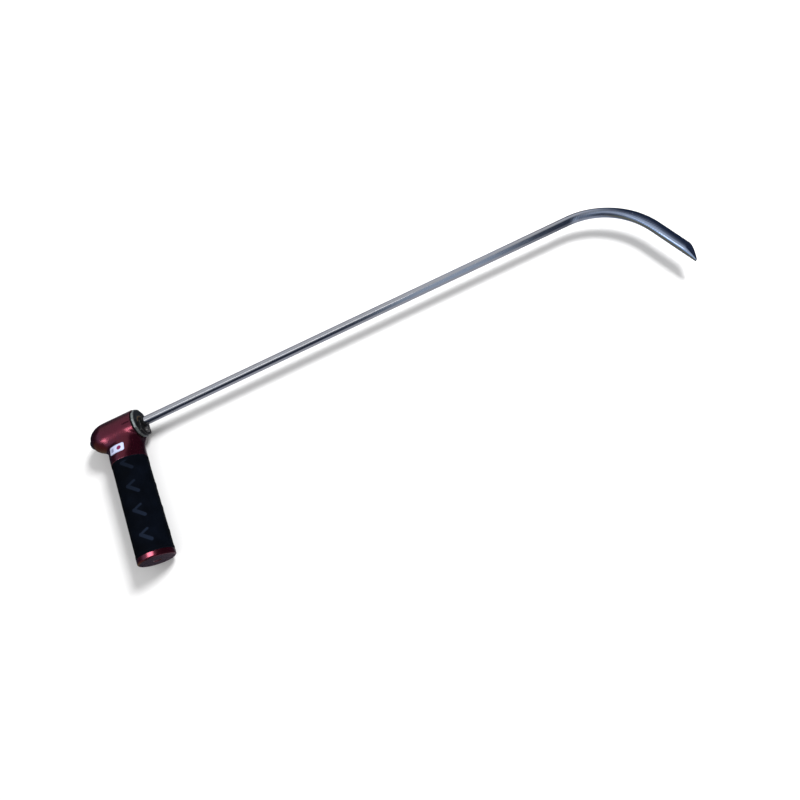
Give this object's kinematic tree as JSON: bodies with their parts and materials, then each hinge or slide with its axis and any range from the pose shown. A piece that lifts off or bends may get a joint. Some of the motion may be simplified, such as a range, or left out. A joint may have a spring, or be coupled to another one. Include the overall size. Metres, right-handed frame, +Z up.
{
  "type": "paintless dent repair rod",
  "caption": "Long polished steel rod with a bent, flattened tip, turned and locked in an L-shaped pistol handle with a rubber grip and a rear release button.",
  "frame": {"origin": "centre of the end cap's flat face, on the grip's axis", "axes": "+X along the straight part of the rod towards its bent tip, -Y out of the end cap's face, +Z up from the bench that the tool lies on"},
  "size_m": [0.6224, 0.1572, 0.0378],
  "materials": {
    "red_anodised": "satin red anodised",
    "polished_steel": "polished",
    "grey_steel": "turned",
    "black_steel": "black oxide",
    "spring_steel": "drawn wire",
    "bronze": "turned bronze",
    "bare_aluminium": "mill",
    "grip_rubber": "matte moulded",
    "black_seal": "smooth"
  },
  "bodies": {
    "handle": {"head_housing": "red_anodised", "front_gasket": "black_seal", "front_plate": "grey_steel", "front_bushing": "bronze", "thrust_washer": "black_steel", "keeper_plate": "black_steel", "keeper_screw": "grey_steel", "return_spring": "spring_steel", "key_pin_upper": "spring_steel", "key_pin_lower": "spring_steel", "grip_core": "bare_aluminium", "grip_sleeve": "grip_rubber", "end_cap": "red_anodised", "cap_seal": "black_seal"},
    "rod": {"dent_rod": "polished_steel", "rod_hub": "black_steel", "hub_pin": "spring_steel"},
    "button": {"push_button": "black_steel", "button_seal": "black_seal", "lock_sleeve": "black_steel"}
  },
  "joints": [
    {"name": "rod_turn", "type": "hinge", "parent": "handle", "child": "rod", "pos_m": [0, 0.141, 0], "axis": [1, 0, 0], "continuous": true},
    {"name": "button_press", "type": "slide", "parent": "handle", "child": "button", "axis": [1, 0, 0], "range_m": [0, 0.0032], "stiffness_N_per_m": 2500, "springref_m": -0.003, "deforming": ["return_spring"]}
  ]
}
